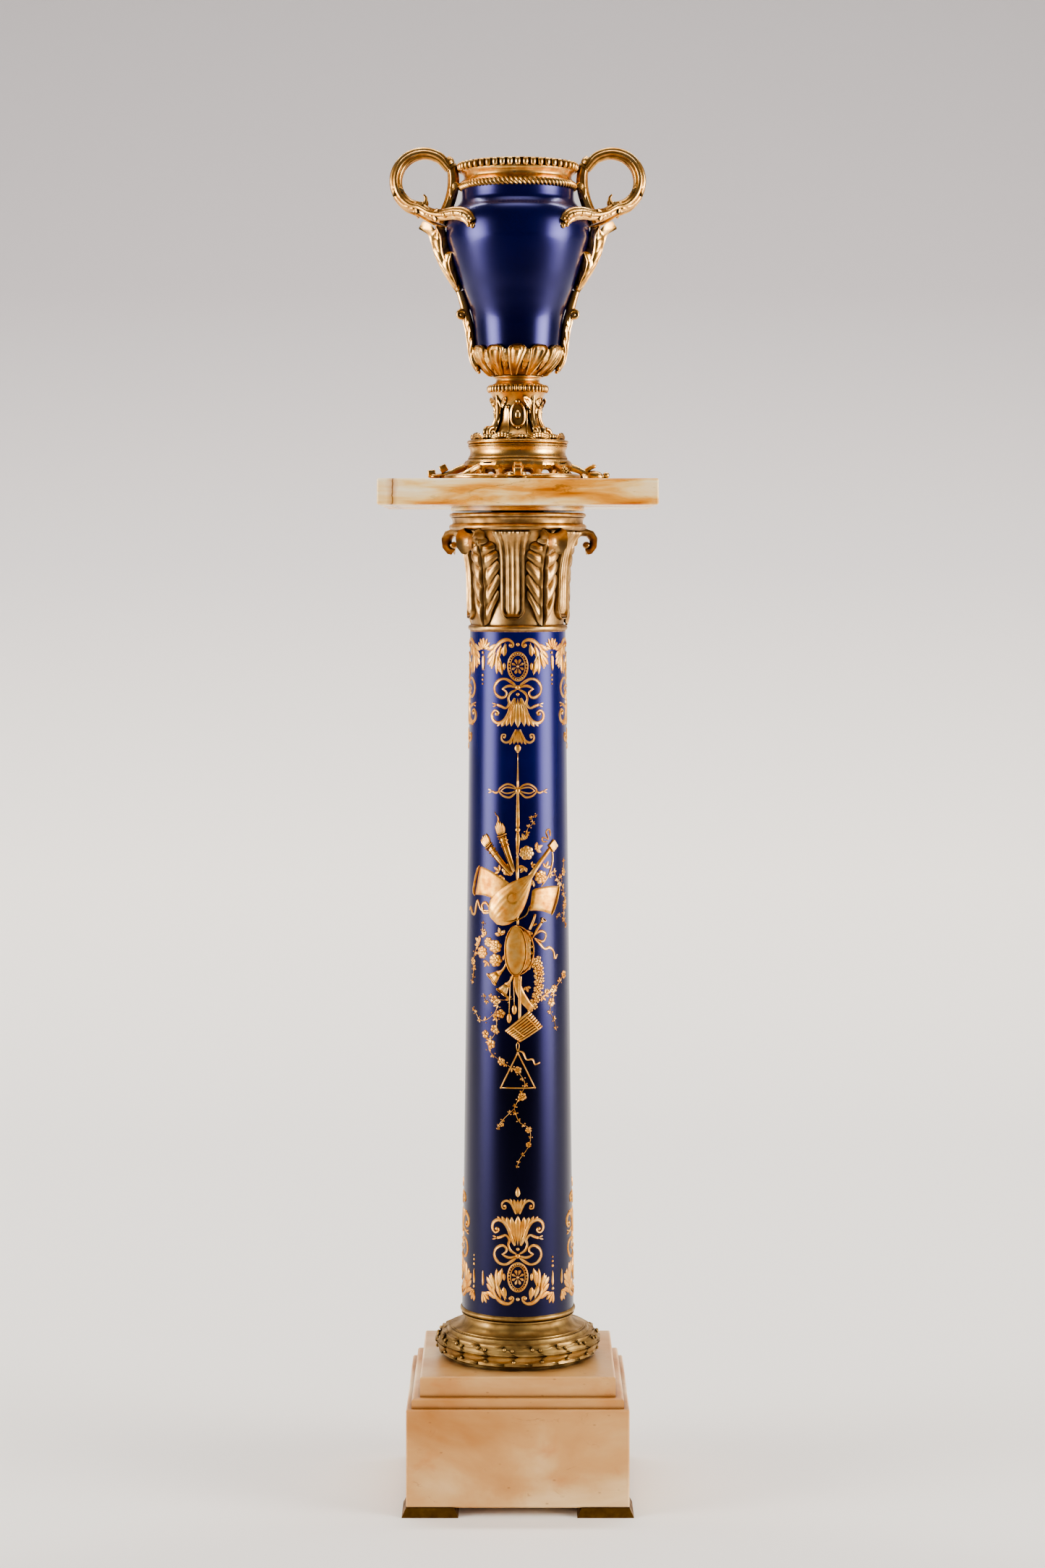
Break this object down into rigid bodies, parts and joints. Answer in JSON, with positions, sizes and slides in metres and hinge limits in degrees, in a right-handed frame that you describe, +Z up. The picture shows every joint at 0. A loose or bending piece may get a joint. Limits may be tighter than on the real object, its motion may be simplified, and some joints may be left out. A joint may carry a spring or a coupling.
{
  "type": "amphora on a revolving column pedestal",
  "caption": "Two-handled blue porcelain amphora in gilt bronze mounts, on a matching column pedestal with a revolving square stone top.",
  "frame": {"origin": "middle of the pedestal's footprint, on the floor", "axes": "+Z up, -Y the front; the handles lie along X"},
  "size_m": [0.32, 0.32, 1.5838],
  "materials": {
    "gilt_bronze": "fire-gilt bronze, burnished on the high parts and matt in the hollows",
    "capital_bronze": "satin gilt bronze, slightly darkened with age",
    "base_bronze": "satin gilt bronze, worn and darkened in the hollows",
    "corner_foot_brass": "dark aged brass",
    "vase_porcelain": "glossy cobalt blue glaze over white porcelain",
    "shaft_porcelain": "glossy cobalt blue glaze with raised satin gilding",
    "slab_onyx": "polished banded onyx, cream to honey with brown veins",
    "plinth_onyx": "polished cream onyx with fine brown flecks",
    "hub_iron": "blackened iron bearing",
    "steel": "plain turned steel",
    "cork": "thin cork gasket"
  },
  "bodies": {
    "column": {"foot_fl": "corner_foot_brass", "foot_fr": "corner_foot_brass", "foot_bl": "corner_foot_brass", "foot_br": "corner_foot_brass", "plinth_block": "plinth_onyx", "plinth_step": "plinth_onyx", "plinth_top": "plinth_onyx", "laurel_ring": "base_bronze", "base_socket": "base_bronze", "shaft_gasket_lower": "cork", "shaft": "shaft_porcelain", "shaft_gasket_upper": "cork", "astragal": "capital_bronze", "capital_bell": "capital_bronze", "capital_leaf_1": "capital_bronze", "capital_leaf_2": "capital_bronze", "capital_leaf_3": "capital_bronze", "capital_leaf_4": "capital_bronze", "capital_leaf_5": "capital_bronze", "capital_abacus": "capital_bronze", "tie_rod": "steel", "tie_nut_lower": "steel", "tie_nut_upper": "steel", "tie_washer": "steel", "pivot_post": "steel"},
    "turntable": {"turntable_hub": "hub_iron", "turntable_disc": "slab_onyx", "turntable_slab": "slab_onyx"},
    "amphora": {"bead_rim": "gilt_bronze", "collar": "gilt_bronze", "cup": "gilt_bronze", "drum": "gilt_bronze", "drum_frieze": "gilt_bronze", "foot_ring": "gilt_bronze", "foot_scroll_1": "gilt_bronze", "foot_scroll_2": "gilt_bronze", "foot_scroll_3": "gilt_bronze", "foot_scroll_4": "gilt_bronze", "handle_bracket_left": "gilt_bronze", "handle_bracket_right": "gilt_bronze", "handle_leaf_left": "gilt_bronze", "handle_leaf_right": "gilt_bronze", "handle_left": "gilt_bronze", "handle_right": "gilt_bronze", "handle_stud_left": "gilt_bronze", "handle_stud_right": "gilt_bronze", "pearl_ring": "gilt_bronze", "rod": "steel", "rod_nut_lower": "steel", "rod_nut_upper": "steel", "rod_washer": "steel", "rope_ring": "gilt_bronze", "stem": "gilt_bronze", "stem_collet": "gilt_bronze", "vase_gasket": "cork", "vase_lower": "vase_porcelain", "vase_upper": "vase_porcelain"}
  },
  "joints": [
    {"name": "turntable_spin", "type": "hinge", "parent": "column", "child": "turntable", "pos_m": [0, 0, 1.1535], "axis": [0, 0, 1], "continuous": true},
    {"name": "amphora_lift", "type": "slide", "parent": "turntable", "child": "amphora", "axis": [0, 0, 1], "range_m": [0, 0.25]}
  ]
}
